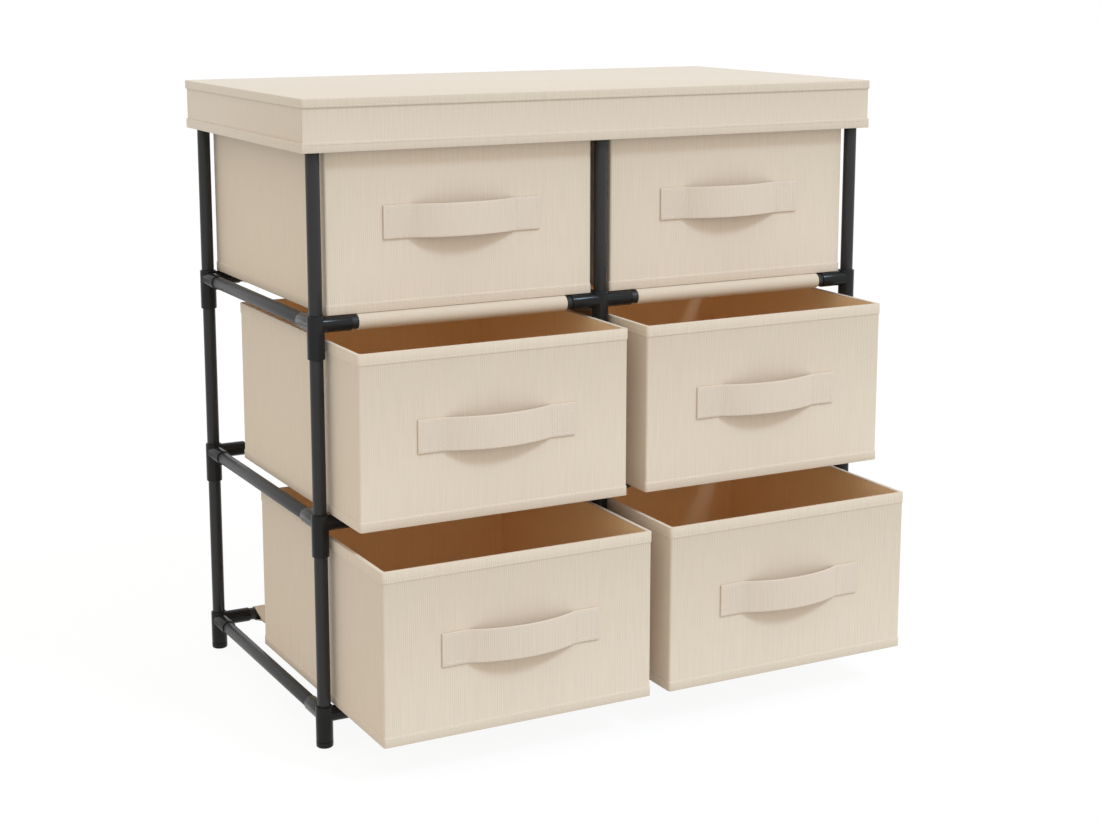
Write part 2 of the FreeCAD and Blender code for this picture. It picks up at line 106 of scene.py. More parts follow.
bpy.ops.object.select_all(action="DESELECT")
bpy.ops.mesh.primitive_plane_add(size=24, location=(0, 0, 0))
floor = bpy.context.object
floor.name = "studio_floor"
floor_paint = bpy.data.materials.new("pale_floor")
floor_paint.use_nodes = True
nodes, links = floor_paint.node_tree.nodes, floor_paint.node_tree.links
matt = nodes["Principled BSDF"]
matt.inputs["Base Color"].default_value = (0.64, 0.64, 0.63, 1)
matt.inputs["Roughness"].default_value = 0.9
matt.inputs["Specular IOR Level"].default_value = 0.1
white_glow = nodes.new("ShaderNodeEmission")
white_glow.inputs["Color"].default_value = (1, 1, 1, 1)
white_glow.inputs["Strength"].default_value = 1.06
share = nodes.new("ShaderNodeMath")
share.operation = "MULTIPLY"
share.inputs[1].default_value = GLOW_SHARE
links.new(seen_directly(nodes, links), share.inputs[0])
choice = nodes.new("ShaderNodeMixShader")
links.new(share.outputs[0], choice.inputs["Fac"])
links.new(matt.outputs[0], choice.inputs[1])
links.new(white_glow.outputs[0], choice.inputs[2])
links.new(choice.outputs[0], nodes["Material Output"].inputs["Surface"])
floor.data.materials.append(floor_paint)


# Steel tubes. Drawn tube, 13 mm outside with a 1 mm wall, cut to length and powder-coated charcoal.
# A post is three of them, one on the other, and the rails join the posts. Inside a connector a post
# tube ends at the web, and a rail at the stop: both are given here from the connector's middle.

TUBE_RADIUS = 0.0065
TUBE_WALL = 0.001
POST_X = 0.3004
FRONT_Y = -0.3136
LEVELS = {"bottom": 0.032, "lower": 0.221, "upper": 0.410, "top": 0.599}
WEB_LOW = -0.011
WEB_HIGH = -0.008
RAIL_STOP = 0.015
POSTS = [
    ("front_left", -POST_X, FRONT_Y),
    ("front_centre", 0, FRONT_Y),
    ("front_right", POST_X, FRONT_Y),
    ("rear_left", -POST_X, 0),
    ("rear_centre", 0, 0),
    ("rear_right", POST_X, 0),
]


def pick(*pieces):
    """Selects these pieces and nothing else, with the first of them active."""
    bpy.ops.object.select_all(action="DESELECT")
    for piece in pieces:
        piece.select_set(True)
    bpy.context.view_layer.objects.active = pieces[0]


def shaped_by(piece, kind, **settings):
    """Gives a piece one modifier and applies it."""
    step = piece.modifiers.new(kind.lower(), kind)
    for setting, value in settings.items():
        setattr(step, setting, value)
    pick(piece)
    bpy.ops.object.modifier_apply(modifier=step.name)


def settled(piece):
    """Puts a new piece's place, turn and size into its mesh."""
    pick(piece)
    bpy.ops.object.transform_apply(location=True, rotation=True, scale=True)
    return piece


def smooth(piece, degrees=35):
    """Shades the round faces smooth and keeps the folds and corners crisp."""
    pick(piece)
    bpy.ops.object.shade_smooth_by_angle(angle=math.radians(degrees))
    return piece


def set_down(pattern, x, y, z, turn=0.0, tip=None):
    """A copy of a pattern with its own mesh, tipped and turned about the upright, then set down."""
    copy = pattern.copy()
    copy.data = pattern.data.copy()
    bpy.context.collection.objects.link(copy)
    place = Matrix.Translation((x, y, z)) @ Matrix.Rotation(math.radians(turn), 4, "Z")
    if tip:
        place = place @ Matrix.Rotation(math.radians(tip[1]), 4, tip[0])
    copy.data.transform(place)
    return copy


def joined(name, parts):
    """Joins like parts into one named piece."""
    pick(*parts)
    bpy.ops.object.join()
    parts[0].name = name
    parts[0].data.name = name
    return parts[0]


def round_bar(radius, low, high, sides=48, ends="NGON"):
    """An upright cylinder on the origin's axis, between two heights."""
    bpy.ops.object.select_all(action="DESELECT")
    bpy.ops.mesh.primitive_cylinder_add(
        vertices=sides, radius=radius, depth=high - low, end_fill_type=ends,
        location=(0, 0, (low + high) / 2),
    )
    return settled(bpy.context.object)


def steel_tube(length):
    """A tube standing on the origin, hollow, with its cut ends eased."""
    tube = round_bar(TUBE_RADIUS, 0, length, sides=40, ends="NOTHING")
    shaped_by(tube, "SOLIDIFY", thickness=TUBE_WALL, offset=-1)
    shaped_by(tube, "BEVEL", width=0.0002, segments=2, limit_method="ANGLE")
    return smooth(tube)


def grained(finish, scale, detail):
    """Adds a noise of this scale that stays with the piece, and gives its value."""
    nodes, links = finish.node_tree.nodes, finish.node_tree.links
    spot = nodes.new("ShaderNodeTexCoord")
    grain = nodes.new("ShaderNodeTexNoise")
    grain.inputs["Scale"].default_value = scale
    grain.inputs["Detail"].default_value = detail
    links.new(spot.outputs["Object"], grain.inputs["Vector"])
    return grain.outputs["Fac"]


def mottled_finish(name, scale, detail, dark, light):
    """A new material whose colour a fine noise mottles between two tones, and that noise."""
    finish = bpy.data.materials.new(name)
    finish.use_nodes = True
    nodes, links = finish.node_tree.nodes, finish.node_tree.links
    grain = grained(finish, scale, detail)
    tone = nodes.new("ShaderNodeValToRGB")
    tone.color_ramp.elements[0].color = (*dark, 1)
    tone.color_ramp.elements[1].color = (*light, 1)
    links.new(grain, tone.inputs["Fac"])
    links.new(tone.outputs["Color"], nodes["Principled BSDF"].inputs["Base Color"])
    return finish, grain


def uneven_gloss(finish, grain, low, high):
    """Lets a noise vary a finish's roughness between two values."""
    nodes, links = finish.node_tree.nodes, finish.node_tree.links
    gloss = nodes.new("ShaderNodeMapRange")
    gloss.inputs["To Min"].default_value = low
    gloss.inputs["To Max"].default_value = high
    links.new(grain, gloss.inputs["Value"])
    links.new(gloss.outputs["Result"], nodes["Principled BSDF"].inputs["Roughness"])


def raised_grain(finish, grain, strength, height):
    """Lets a noise or a weave stand up from a finish by this height in metres."""
    nodes, links = finish.node_tree.nodes, finish.node_tree.links
    bump = nodes.new("ShaderNodeBump")
    bump.inputs["Strength"].default_value = strength
    bump.inputs["Distance"].default_value = height
    links.new(grain, bump.inputs["Height"])
    links.new(bump.outputs["Normal"], nodes["Principled BSDF"].inputs["Normal"])


powder_coat, orange_peel = mottled_finish(
    "charcoal_powder_coat", scale=1400, detail=3,
    dark=(0.019, 0.019, 0.0195), light=(0.026, 0.026, 0.0265),
)
coat = powder_coat.node_tree.nodes["Principled BSDF"]
coat.inputs["Specular IOR Level"].default_value = 0.32
uneven_gloss(powder_coat, grained(powder_coat, scale=60, detail=2), low=0.36, high=0.42)
raised_grain(powder_coat, orange_peel, strength=0.12, height=0.0001)

post_tube = steel_tube(LEVELS["lower"] + WEB_LOW - LEVELS["bottom"] - WEB_HIGH)
for label, x, y in POSTS:
    stack = [
        set_down(post_tube, x, y, LEVELS[level] + WEB_HIGH)
        for level in ("bottom", "lower", "upper")
    ]
    post = joined(f"{label}_post_tubes", stack)
    post.data.materials.append(powder_coat)
    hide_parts(f"{label}_post")
    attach(post, "frame")
bpy.data.objects.remove(post_tube)

width_tube = steel_tube(POST_X - 2 * RAIL_STOP)
depth_tube = steel_tube(-FRONT_Y - 2 * RAIL_STOP)
for label, height in LEVELS.items():
    rails = [
        set_down(width_tube, x, y, height, tip=("Y", 90))
        for x in (RAIL_STOP - POST_X, RAIL_STOP)
        for y in (FRONT_Y, 0)
    ]
    across = joined(f"{label}_width_rail_tubes", rails)
    rails = [
        set_down(depth_tube, x, -RAIL_STOP, height, tip=("X", 90))
        for x in (-POST_X, 0, POST_X)
    ]
    back = joined(f"{label}_depth_rail_tubes", rails)
    for rail, node in ((across, f"{label}_width_rails"), (back, f"{label}_depth_rails")):
        rail.data.materials.append(powder_coat)
        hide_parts(node)
        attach(rail, "frame")
bpy.data.objects.remove(width_tube)
bpy.data.objects.remove(depth_tube)


# Connectors. Glossy black injection mouldings: an upright sleeve with two or three arms, each
# with a blind socket that a tube is pushed into. The top ones have a closed head under the lid.
# The kinds give their reach below and above the rails' axes, and whether the head is open.

SLEEVE_RADIUS = 0.0083
SLEEVE_EDGE = 0.0008  # the width of the eased edge
HEAD_EDGE = 0.0012
ARM_RADIUS = 0.0076
ARM_REACH = 0.034
ARM_EDGE = 0.0006
SOCKET_RADIUS = 0.0066
CUTTER_PROUD = 0.001  # a bore is cut from this far outside the sleeve
NEAR = 0.00001  # two places this near are one
KINDS = {
    "foot": (0.026, 0.009, True),
    "middle": (0.032, 0.009, True),
    "top": (0.025, 0.0108, False),
}


def choose(piece, kind, test):
    """In edit mode, selects the faces or edges of a piece that a test picks out."""
    bpy.ops.mesh.select_mode(type=kind)
    bpy.ops.mesh.select_all(action="DESELECT")
    shape = bmesh.from_edit_mesh(piece.data)
    for part in shape.faces if kind == "FACE" else shape.edges:
        part.select_set(bool(test(part)))
    shape.select_flush_mode()
    bmesh.update_edit_mesh(piece.data)


def middle_of(part):
    """The middle of an edge or face."""
    return sum((corner.co for corner in part.verts), Vector()) / len(part.verts)


def looks_up(face):
    """True for a level face on a piece's upper side."""
    return face.normal.z > 0.9


def on_rim(edge, height, radius):
    """True for an edge of the round rim at this height and radius."""
    return all(
        abs(point.co.z - height) < NEAR and abs(point.co.xy.length - radius) < NEAR
        for point in edge.verts
    )


def moulded_barrel(low, high, radius, edge_width, socket=0.0):
    """An upright barrel with eased rims, and a socket of a given depth in its upper end."""
    barrel = round_bar(radius, low, high)
    bpy.ops.object.mode_set(mode="EDIT")
    if socket:
        choose(barrel, "FACE", looks_up)
        bpy.ops.mesh.inset(thickness=radius - SOCKET_RADIUS)
        bpy.ops.mesh.extrude_region_move(TRANSFORM_OT_translate={"value": (0, 0, -socket)})
    for height in (low, high):
        choose(barrel, "EDGE", lambda edge: on_rim(edge, height, radius))
        bpy.ops.mesh.bevel(offset=edge_width, segments=3, affect="EDGES")
    bpy.ops.object.mode_set(mode="OBJECT")
    return barrel


def connector(below, above, open_head, arms):
    """One moulding about its post axis, with the rail axes at zero height."""
    body = moulded_barrel(-below, above, SLEEVE_RADIUS, SLEEVE_EDGE if open_head else HEAD_EDGE)
    for turn in arms:
        arm = moulded_barrel(0, ARM_REACH, ARM_RADIUS, ARM_EDGE, socket=ARM_REACH - RAIL_STOP)
        arm.data.transform(
            Matrix.Rotation(math.radians(turn), 4, "Z") @ Matrix.Rotation(math.radians(90), 4, "Y")
        )
        shaped_by(body, "BOOLEAN", operation="UNION", object=arm, solver="EXACT")
        bpy.data.objects.remove(arm)
    bores = [(-below - CUTTER_PROUD, WEB_LOW)]
    if open_head:
        bores.append((WEB_HIGH, above + CUTTER_PROUD))
    for low, high in bores:
        bore = round_bar(SOCKET_RADIUS, low, high)
        shaped_by(body, "BOOLEAN", operation="DIFFERENCE", object=bore, solver="EXACT")
        bpy.data.objects.remove(bore)
    return body


black_moulding, flow_marks = mottled_finish(
    "glossy_black_moulding", scale=600, detail=4,
    dark=(0.014, 0.014, 0.0143), light=(0.018, 0.018, 0.0184),
)
plastic = black_moulding.node_tree.nodes["Principled BSDF"]
plastic.inputs["Specular IOR Level"].default_value = 0.16
uneven_gloss(black_moulding, flow_marks, low=0.17, high=0.2)
raised_grain(black_moulding, flow_marks, strength=0.006, height=0.0001)

SEATS = [
    ("corner", -POST_X, FRONT_Y, 0), ("centre", 0, FRONT_Y, 0), ("corner", POST_X, FRONT_Y, 90),
    ("corner", POST_X, 0, 180), ("centre", 0, 0, 180), ("corner", -POST_X, 0, 270),
]
forms = {}
for kind, (below, above, open_head) in KINDS.items():
    forms["corner", kind] = connector(below, above, open_head, (0, 90))
    forms["centre", kind] = connector(below, above, open_head, (0, 90, 180))
for node, kind, height in (
    ("foot_connectors", "foot", LEVELS["bottom"]), ("lower_connectors", "middle", LEVELS["lower"]),
    ("upper_connectors", "middle", LEVELS["upper"]), ("top_connectors", "top", LEVELS["top"]),
):
    seated = [set_down(forms[form, kind], x, y, height, turn) for form, x, y, turn in SEATS]
    mouldings = smooth(joined(f"{node}_moulded", seated), degrees=30)
    mouldings.data.materials.clear()
    mouldings.data.materials.append(black_moulding)
    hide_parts(node)
    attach(mouldings, "frame")
for form in forms.values():
    bpy.data.objects.remove(form)


# Foot caps. Soft black end plugs with a rounded rim that the rack stands on, pushed up into the
# open ends of the foot connectors by their spigots. The underside is dished inside its rim.

CAP_TALL = 0.006
CAP_EDGE = 0.0018
SPIGOT_TALL = 0.014
DISH_RIM = 0.0035
DISH_DEEP = 0.0008

cap = round_bar(SLEEVE_RADIUS, 0, CAP_TALL)
bpy.ops.object.mode_set(mode="EDIT")
choose(cap, "FACE", looks_up)
bpy.ops.mesh.inset(thickness=SLEEVE_RADIUS - TUBE_RADIUS)
bpy.ops.mesh.extrude_region_move(TRANSFORM_OT_translate={"value": (0, 0, SPIGOT_TALL)})
choose(cap, "FACE", lambda face: face.normal.z < -0.9)
bpy.ops.mesh.inset(thickness=DISH_RIM)
bpy.ops.mesh.extrude_region_move(TRANSFORM_OT_translate={"value": (0, 0, DISH_DEEP)})
choose(cap, "EDGE", lambda edge: on_rim(edge, 0, SLEEVE_RADIUS))
bpy.ops.mesh.bevel(offset=CAP_EDGE, segments=4, affect="EDGES")
bpy.ops.object.mode_set(mode="OBJECT")
caps = smooth(joined("foot_cap_plugs", [set_down(cap, x, y, 0) for label, x, y in POSTS]))
bpy.data.objects.remove(cap)
caps.data.materials.append(black_moulding)
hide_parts("foot_caps")
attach(caps, "frame")


# Shelves. One width of cream cloth per bay and level, stretched between the width rails. Each end
# goes over and under its rail and is sewn back to the cloth, as a tunnel that narrows to its seam.

SHELF_HALF = 0.1097  # half the cloth's width
SHELF_THICK = 0.0009
LOOP_RADIUS = 0.0072  # from a rail's axis to the middle of the cloth round it
SEAM_REACH = 0.025  # from a rail's axis to the seam
SEAM_DROP = 0.0011  # how far the hem lies under the panel
SHELF_HEM = 0.008
BAYS = (("left", -POST_X / 2), ("right", POST_X / 2))
SHELF_LEVELS = {"bottom": "bottom", "middle": "lower", "top": "upper"}


def lay_threads(piece):
    """Runs the cloth's ribs up every upright face: a map in metres, across and up."""
    threads = piece.data.uv_layers.get("UVMap") or piece.data.uv_layers.new(name="UVMap")
    for face in piece.data.polygons:
        for corner in face.loop_indices:
            x, y, z = piece.data.vertices[piece.data.loops[corner].vertex_index].co
            if abs(face.normal.z) > 0.7:
                threads.data[corner].uv = (x, y)
            elif abs(face.normal.x) > abs(face.normal.y):
                threads.data[corner].uv = (y, z)
            else:
                threads.data[corner].uv = (x, z)


def ribbed_cloth(
    name, colour, rib_spacing, rib_depth, rib_shade=0.045, roughness=0.88, shine=0.2
):
    """Dull woven cloth with fine upright ribs, uneven yarns and a slow change of tone."""
    cloth = bpy.data.materials.new(name)
    cloth.use_nodes = True
    nodes, links = cloth.node_tree.nodes, cloth.node_tree.links
    fibre = nodes["Principled BSDF"]
    fibre.inputs["Roughness"].default_value = roughness
    fibre.inputs["Specular IOR Level"].default_value = shine
    fibre.inputs["Sheen Weight"].default_value = 0.08
    threads = nodes.new("ShaderNodeUVMap")
    threads.uv_map = "UVMap"
    ribs = nodes.new("ShaderNodeTexWave")
    ribs.bands_direction = "X"
    ribs.inputs["Scale"].default_value = math.pi / (10 * rib_spacing)
    ribs.inputs["Distortion"].default_value = 1.6
    ribs.inputs["Detail"].default_value = 2
    ribs.inputs["Detail Scale"].default_value = 0.35
    links.new(threads.outputs["UV"], ribs.inputs["Vector"])
    drawn_out = nodes.new("ShaderNodeMapping")
    drawn_out.inputs["Scale"].default_value = (700, 22, 1)
    links.new(threads.outputs["UV"], drawn_out.inputs["Vector"])
    yarn = nodes.new("ShaderNodeTexNoise")
    yarn.inputs["Scale"].default_value = 1
    yarn.inputs["Detail"].default_value = 3
    links.new(drawn_out.outputs["Vector"], yarn.inputs["Vector"])
    fuzz = nodes.new("ShaderNodeTexNoise")
    fuzz.inputs["Scale"].default_value = 2600
    links.new(threads.outputs["UV"], fuzz.inputs["Vector"])
    tone = nodes.new("ShaderNodeValToRGB")
    tone.color_ramp.elements[0].position = 0.25
    tone.color_ramp.elements[0].color = [part * 0.96 for part in colour] + [1]
    tone.color_ramp.elements[1].position = 0.75
    tone.color_ramp.elements[1].color = [min(part * 1.04, 0.95) for part in colour] + [1]
    links.new(yarn.outputs["Fac"], tone.inputs["Fac"])
    rib_tone = nodes.new("ShaderNodeMix")
    rib_tone.data_type = "RGBA"
    rib_tone.blend_type = "MULTIPLY"
    rib_tone.inputs["Factor"].default_value = rib_shade
    links.new(tone.outputs["Color"], rib_tone.inputs["A"])
    links.new(ribs.outputs["Color"], rib_tone.inputs["B"])
    patch_tone = nodes.new("ShaderNodeMix")
    patch_tone.data_type = "RGBA"
    patch_tone.blend_type = "SOFT_LIGHT"
    patch_tone.inputs["Factor"].default_value = 0.03
    links.new(rib_tone.outputs["Result"], patch_tone.inputs["A"])
    links.new(grained(cloth, scale=9, detail=2), patch_tone.inputs["B"])
    links.new(patch_tone.outputs["Result"], fibre.inputs["Base Color"])
    relief = nodes.new("ShaderNodeMath")
    relief.operation = "MULTIPLY_ADD"
    relief.inputs[1].default_value = 0.45
    links.new(fuzz.outputs["Fac"], relief.inputs[0])
    links.new(ribs.outputs["Fac"], relief.inputs[2])
    raised_grain(cloth, relief.outputs[0], strength=rib_depth, height=0.0002)
    return cloth


shelf_cloth = ribbed_cloth(
    "cream_shelf_cloth", (0.66, 0.56, 0.44), rib_spacing=0.002, rib_depth=0.3
)

touch_y = LOOP_RADIUS ** 2 / SEAM_REACH
touch_z = math.sqrt(LOOP_RADIUS ** 2 - touch_y ** 2)
wrap_angle = 2 * math.pi - 2 * math.acos(LOOP_RADIUS / SEAM_REACH)
panel_length = -FRONT_Y - 2 * SEAM_REACH

bpy.ops.object.select_all(action="DESELECT")
bpy.ops.mesh.primitive_plane_add(size=1, location=(0, FRONT_Y / 2, 0))
shelf_pattern = bpy.context.object
shelf_pattern.scale = (SHELF_HALF * 2, panel_length, 1)
settled(shelf_pattern)
bpy.ops.object.mode_set(mode="EDIT")
for rail_y, way in ((FRONT_Y, 1), (0, -1)):
    seam_y = rail_y + way * SEAM_REACH
    choose(
        shelf_pattern, "EDGE",
        lambda edge: abs(middle_of(edge).y - seam_y) < NEAR and abs(middle_of(edge).z) < NEAR,
    )
    bpy.ops.mesh.extrude_edges_move(
        TRANSFORM_OT_translate={"value": (0, way * (touch_y - SEAM_REACH), touch_z)}
    )
    bpy.ops.mesh.spin(steps=20, angle=-wrap_angle * way, center=(0, rail_y, 0), axis=(1, 0, 0))
    bpy.ops.mesh.extrude_edges_move(
        TRANSFORM_OT_translate={"value": (0, way * (SEAM_REACH - touch_y), touch_z - SEAM_DROP)}
    )
    bpy.ops.mesh.extrude_edges_move(TRANSFORM_OT_translate={"value": (0, way * SHELF_HEM, 0)})
bpy.ops.object.mode_set(mode="OBJECT")
for bay, x in BAYS:
    for row, level in SHELF_LEVELS.items():
        shelf = set_down(shelf_pattern, x, 0, LEVELS[level])
        shelf.name = f"{row}_{bay}_shelf_cloth"
        lay_threads(shelf)
        shaped_by(shelf, "SOLIDIFY", thickness=SHELF_THICK, offset=0)
        smooth(shelf)
        shelf.data.materials.append(shelf_cloth)
        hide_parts(f"{row}_{bay}_shelf")
        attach(shelf, "frame")
bpy.data.objects.remove(shelf_pattern)


# Basket covers. Six loose cloth baskets stand on the shelves and serve as drawers. The cream outer
# cloth is sewn round four stiff boards and folded over the rim, with a doubled band at rim and hem.

BASKET_HALF = 0.140
BASKET_DEEP = 0.318
BASKET_TALL = 0.165
BASKET_CORNER = 0.0022
COVER_THICK = 0.0005
BAND_PROUD = 0.0007  # how far the doubled bands stand out
RIM_LINE = 0.1543  # where the rim's band begins
RIM_FOLD = 0.0012  # how far the cloth goes down inside the rim
HEM_LINE = 0.0093  # where the hem's band ends
INSIDE_HALF = 0.1359
INSIDE_GAP = 0.0041  # from the outside of the front or back to the inside
SHELF_RISE = 0.008  # how far above its rails' axes a basket stands
SHUT_REAR = 0.0032  # where the back of a shut basket is
BASKETS = [
    (f"{row}_{bay}_drawer", x, SHUT_REAR - pulled, LEVELS[SHELF_LEVELS[row]] + SHELF_RISE)
    for row, pulled in (("top", 0), ("middle", 0.073), ("bottom", 0.121))
    for bay, x in BAYS
]
CLOTH_CREAM = (0.7, 0.592, 0.471)


def lies_level(edge):
    """True for an edge with both its ends at one height."""
    return abs(edge.verts[0].co.z - edge.verts[1].co.z) < NEAR


def upright_box(half_width, front, rear, low, high, corner):
    """A box on the centre line with its four upright corners rounded, left in edit mode."""
    bpy.ops.object.select_all(action="DESELECT")
    bpy.ops.mesh.primitive_cube_add(size=1, location=(0, (front + rear) / 2, (low + high) / 2))
    shell = bpy.context.object
    shell.scale = (half_width * 2, rear - front, high - low)
    settled(shell)
    bpy.ops.object.mode_set(mode="EDIT")
    choose(shell, "EDGE", lambda edge: not lies_level(edge))
    bpy.ops.mesh.bevel(offset=corner, segments=4, affect="EDGES")
    return shell


def open_at_top(shell):
    """In edit mode, takes the level top off a box of cloth."""
    choose(shell, "FACE", looks_up)
    bpy.ops.mesh.delete(type="FACE")


def lined_at(*heights):
    """In edit mode, draws a level line round the cloth at each height."""
    for height in heights:
        bpy.ops.mesh.select_all(action="SELECT")
        bpy.ops.mesh.bisect(plane_co=(0, 0, height), plane_no=(0, 0, 1))


def doubled_band(shell, low, high, proud):
    """In edit mode, thickens the upright cloth between two heights into a sewn band."""
    choose(
        shell, "FACE",
        lambda face: abs(face.normal.z) < 0.1 and low < middle_of(face).z < high,
    )
    bpy.ops.mesh.extrude_region_shrink_fatten(TRANSFORM_OT_shrink_fatten={"value": proud})


basket_cloth = ribbed_cloth("cream_basket_cloth", CLOTH_CREAM, rib_spacing=0.002, rib_depth=0.35)

cover_pattern = upright_box(
    BASKET_HALF - BAND_PROUD, BAND_PROUD - BASKET_DEEP, -BAND_PROUD,
    0, BASKET_TALL, BASKET_CORNER,
)
open_at_top(cover_pattern)
lined_at(HEM_LINE, RIM_LINE)
doubled_band(cover_pattern, RIM_LINE, BASKET_TALL, BAND_PROUD)
doubled_band(cover_pattern, 0, HEM_LINE, BAND_PROUD)
choose(
    cover_pattern, "EDGE",
    lambda edge: edge.is_boundary and middle_of(edge).z > BASKET_TALL - NEAR,
)
fold = (
    INSIDE_HALF / (BASKET_HALF - BAND_PROUD),
    (BASKET_DEEP / 2 - INSIDE_GAP) / (BASKET_DEEP / 2 - BAND_PROUD), 1,
)
bpy.ops.mesh.extrude_edges_move()
bpy.ops.transform.resize(value=fold, center_override=(0, -BASKET_DEEP / 2, BASKET_TALL))
bpy.ops.mesh.extrude_edges_move(TRANSFORM_OT_translate={"value": (0, 0, -RIM_FOLD)})
bpy.ops.mesh.select_all(action="SELECT")
bpy.ops.mesh.remove_doubles(threshold=NEAR)
bpy.ops.mesh.normals_make_consistent(inside=False)
bpy.ops.object.mode_set(mode="OBJECT")
shaped_by(cover_pattern, "BEVEL", width=0.0004, segments=2, limit_method="ANGLE")
shaped_by(cover_pattern, "SOLIDIFY", thickness=COVER_THICK, offset=-1)
smooth(cover_pattern, degrees=50)
for label, x, rear, bottom in BASKETS:
    outer = set_down(cover_pattern, x, rear, bottom)
    outer.name = f"{label}_outer_cloth"
    lay_threads(outer)
    outer.data.materials.append(basket_cloth)
    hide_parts(f"{label}_cover")
    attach(outer, label)
bpy.data.objects.remove(cover_pattern)


# Basket linings. The brown inner cloth, hung from the rim inside the wall boards and sewn to the
# bottom of the cover, with a seam line near its top. Its colour here is a light warm tan, lighter
# than the cloth: painted light for the shaded inside, which renders brown after many bounces.
# The fibreboard walls between the two cloths are never seen, and the lid's board is of the same
# stuff.

LINING_THICK = 0.0006
LINING_FLOOR = 0.0008  # the underside of its bottom, above the cover's
LINING_CORNER = 0.002
LINING_LINE = BASKET_TALL - 0.011

# painted light: a warm tan lighter than the brown cloth, so that the shaded inside of a basket
# renders as bright as it looks
lining_cloth = ribbed_cloth(
    "tan_lining_cloth_lightened_for_shade", (0.92, 0.695, 0.415), rib_spacing=0.0025, rib_depth=0.25
)

lining_pattern = upright_box(
    INSIDE_HALF + LINING_THICK, INSIDE_GAP - LINING_THICK - BASKET_DEEP, LINING_THICK - INSIDE_GAP,
    LINING_FLOOR, BASKET_TALL - LINING_THICK, LINING_CORNER,
)
open_at_top(lining_pattern)
lined_at(LINING_LINE)
choose(
    lining_pattern, "EDGE",
    lambda edge: lies_level(edge) and abs(middle_of(edge).z - LINING_LINE) < NEAR,
)
bpy.ops.mesh.bevel(offset=0.0007, segments=2, affect="EDGES")
bpy.ops.object.mode_set(mode="OBJECT")
shaped_by(lining_pattern, "SOLIDIFY", thickness=LINING_THICK, offset=-1)
smooth(lining_pattern, degrees=50)
for label, x, rear, bottom in BASKETS:
    inner = set_down(lining_pattern, x, rear, bottom)
    inner.name = f"{label}_inner_cloth"
    lay_threads(inner)
    inner.data.materials.append(lining_cloth)
    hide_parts(f"{label}_lining")
    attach(inner, label)
bpy.data.objects.remove(lining_pattern)

fibreboard, flecks = mottled_finish(
    "grey_fibreboard", scale=700, detail=5, dark=(0.21, 0.17, 0.13), light=(0.36, 0.31, 0.25)
)
fibreboard.node_tree.nodes["Principled BSDF"].inputs["Roughness"].default_value = 0.95
raised_grain(fibreboard, flecks, strength=0.3, height=0.0002)
for node in [f"{label}_wall_boards" for label, x, rear, bottom in BASKETS] + ["lid_board"]:
    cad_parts[node].data.materials.clear()
    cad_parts[node].data.materials.append(fibreboard)


# Base pads. A loose fibreboard in the bottom of each basket, wrapped in the lining's brown cloth
# and sewn round its edge, which keeps the floor flat. The seam draws a shallow groove.

PAD_HALF = 0.1354
PAD_GAP = 0.0047  # from the outside of the basket's front or back to the pad
PAD_LOW = 0.0014
PAD_HIGH = 0.0034
PAD_CORNER = 0.006
PAD_SEAM = 0.0025  # from the edge to the groove
GROOVE_SIDE = 0.0008
GROOVE_DEEP = 0.0003
SHARP = 1.0  # in radians: edges with a sharper turn than this are eased

pad_pattern = upright_box(PAD_HALF, PAD_GAP - BASKET_DEEP, -PAD_GAP, PAD_LOW, PAD_HIGH, PAD_CORNER)
choose(pad_pattern, "FACE", looks_up)
bpy.ops.mesh.inset(thickness=PAD_SEAM)
for drop in (-GROOVE_DEEP, GROOVE_DEEP):
    bpy.ops.mesh.inset(thickness=GROOVE_SIDE)
    bpy.ops.mesh.extrude_region_move(TRANSFORM_OT_translate={"value": (0, 0, drop)})
bpy.ops.object.mode_set(mode="OBJECT")
shaped_by(pad_pattern, "BEVEL", width=0.0005, segments=2, limit_method="ANGLE", angle_limit=SHARP)
smooth(pad_pattern, degrees=50)
for label, x, rear, bottom in BASKETS:
    pad = set_down(pad_pattern, x, rear, bottom)
    pad.name = f"{label}_base_pad"
    lay_threads(pad)
    # the lining's cloth, lightened as painted light for the shaded inside
    pad.data.materials.append(lining_cloth)
    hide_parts(f"{label}_base_board")
    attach(pad, label)
bpy.data.objects.remove(pad_pattern)


# Strap handles. A band of the cover's cloth, folded double and pressed, its two end tabs sewn flat
# to the basket's front and the middle left proud enough for the fingers.

STRAP_LOW = 0.0675
STRAP_HIGH = 0.0995
STRAP_END = 0.082  # from the middle to the end of a tab
SPAN_HALF = 0.055  # from the middle to where a tab begins
STRAP_BOW = 0.0125  # how far the middle stands off the cloth
STRAP_THICK = 0.0018
STRAP_FOLD = 0.0022  # from an edge to the line pressed along it
FACE_Y = BAND_PROUD - BASKET_DEEP
bow_radius = (SPAN_HALF ** 2 + STRAP_BOW ** 2) / (2 * STRAP_BOW)

bpy.ops.object.select_all(action="DESELECT")
bpy.ops.mesh.primitive_plane_add(
    size=1, location=(-(STRAP_END + SPAN_HALF) / 2, FACE_Y, (STRAP_LOW + STRAP_HIGH) / 2),
    rotation=(math.radians(90), 0, 0),
)
strap_pattern = bpy.context.object
strap_pattern.scale = (STRAP_END - SPAN_HALF, STRAP_HIGH - STRAP_LOW, 1)
settled(strap_pattern)
bpy.ops.object.mode_set(mode="EDIT")
choose(strap_pattern, "EDGE", lambda edge: middle_of(edge).x > -SPAN_HALF - NEAR)
bpy.ops.mesh.spin(
    steps=28, angle=-2 * math.asin(SPAN_HALF / bow_radius),
    center=(0, FACE_Y - STRAP_BOW + bow_radius, 0), axis=(0, 0, 1),
)
bpy.ops.mesh.extrude_edges_move(TRANSFORM_OT_translate={"value": (STRAP_END - SPAN_HALF, 0, 0)})
